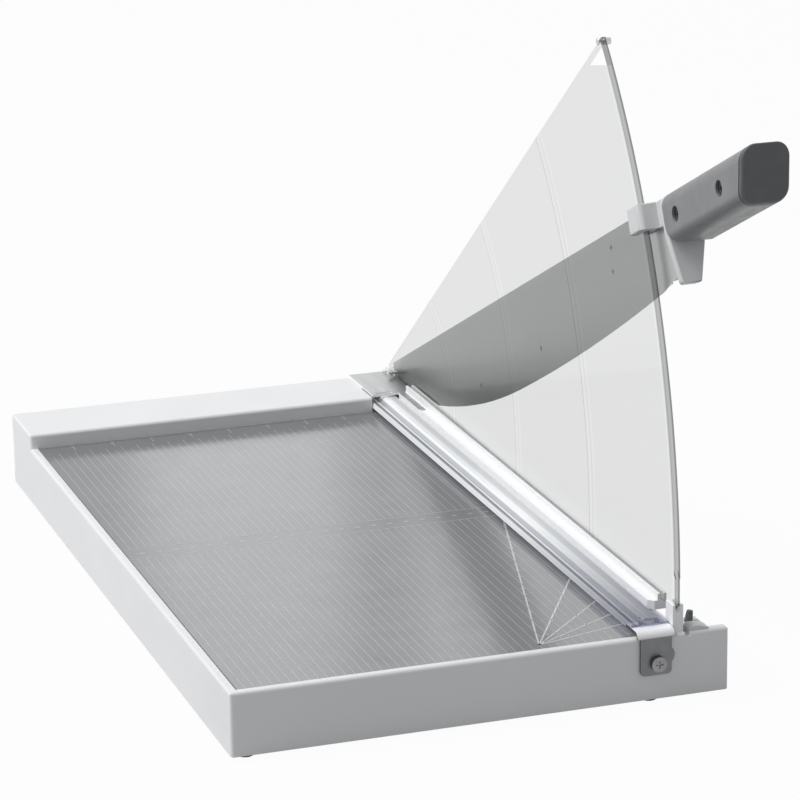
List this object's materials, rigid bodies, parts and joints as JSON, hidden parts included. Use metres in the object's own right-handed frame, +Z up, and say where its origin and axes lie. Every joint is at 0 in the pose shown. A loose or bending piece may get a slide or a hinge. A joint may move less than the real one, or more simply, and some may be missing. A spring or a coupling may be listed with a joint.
{
  "type": "guillotine paper trimmer",
  "caption": "Flat-bed paper trimmer with a printed table, a clear sector guard, a sprung clear clamp bar and a curved knife on a hinged arm, shown half raised.",
  "frame": {"origin": "on the desk under the feet, at the middle in X and Y of the space that the whole trimmer fills with its arm as stored", "axes": "+X across the table towards the knife and the handle, +Y back towards the paper stop and the hinge, +Z up"},
  "size_m": [0.28, 0.5782, 0.343],
  "materials": {
    "light_grey_paint": "fine textured light grey powder coat",
    "printed_table": "glossy grey plate with a fine pale ruled print",
    "dark_sheet": "dark painted sheet",
    "black_rubber": "matt black rubber",
    "dark_rubber": "matt dark grey rubber",
    "zinc_screws": "zinc plated steel",
    "black_screws": "blackened steel",
    "knife_steel": "satin ground steel",
    "bracket_steel": "bright rolled steel",
    "cast_aluminium": "satin die casting",
    "bush_brass": "turned sintered bronze",
    "white_moulding": "glossy white moulding",
    "pale_moulding": "satin pale grey moulding",
    "handle_grey": "satin mid grey moulding",
    "cap_grey": "matt dark grey moulding",
    "clear_guard": "clear moulded acrylic sheet",
    "clear_bar": "clear extruded acrylic bar"
  },
  "bodies": {
    "base": {"base_shell": "light_grey_paint", "table_plate": "printed_table", "bottom_plate": "dark_sheet", "rubber_feet": "black_rubber", "foot_screws": "zinc_screws", "bottom_screws": "zinc_screws", "counter_blade": "knife_steel", "counter_blade_screws": "zinc_screws", "arm_rest": "pale_moulding", "arm_rest_screws": "zinc_screws", "arm_buffer": "dark_rubber", "pivot_bracket": "bracket_steel", "pivot_bracket_screws": "zinc_screws", "pivot_bolt": "zinc_screws", "friction_washer": "white_moulding", "rear_bracket": "bracket_steel", "rear_bracket_nut": "zinc_screws", "guard_panel": "clear_guard", "guard_rail": "white_moulding", "guard_rail_screws": "zinc_screws", "guard_front_post": "white_moulding", "guard_rear_clip": "clear_bar", "guard_pins": "zinc_screws", "guard_stop_pin": "zinc_screws", "clamp_guide_screw": "zinc_screws", "clamp_springs": "zinc_screws"},
    "arm": {"cutting_blade": "knife_steel", "blade_screws": "zinc_screws", "arm_casting": "cast_aluminium", "pivot_bush": "bush_brass", "spring_washer": "zinc_screws", "guard_collar": "pale_moulding", "handle_left": "handle_grey", "handle_right": "handle_grey", "handle_screws": "black_screws", "handle_end_cap": "cap_grey"},
    "clamp": {"clamp_bar": "clear_bar", "clamp_bracket": "bracket_steel", "clamp_bar_screws": "zinc_screws"}
  },
  "joints": [
    {"name": "arm_hinge", "type": "hinge", "parent": "base", "child": "arm", "pos_m": [0.1201, 0.26307, 0.0368], "axis": [-1, 0, 0], "range_deg": [-21.9, 10.5]},
    {"name": "clamp_press", "type": "slide", "parent": "base", "child": "clamp", "axis": [0, 0, -1], "range_m": [0, 0.002], "stiffness_N_per_m": 800, "springref_m": -0.003, "deforming": ["clamp_springs"]}
  ]
}
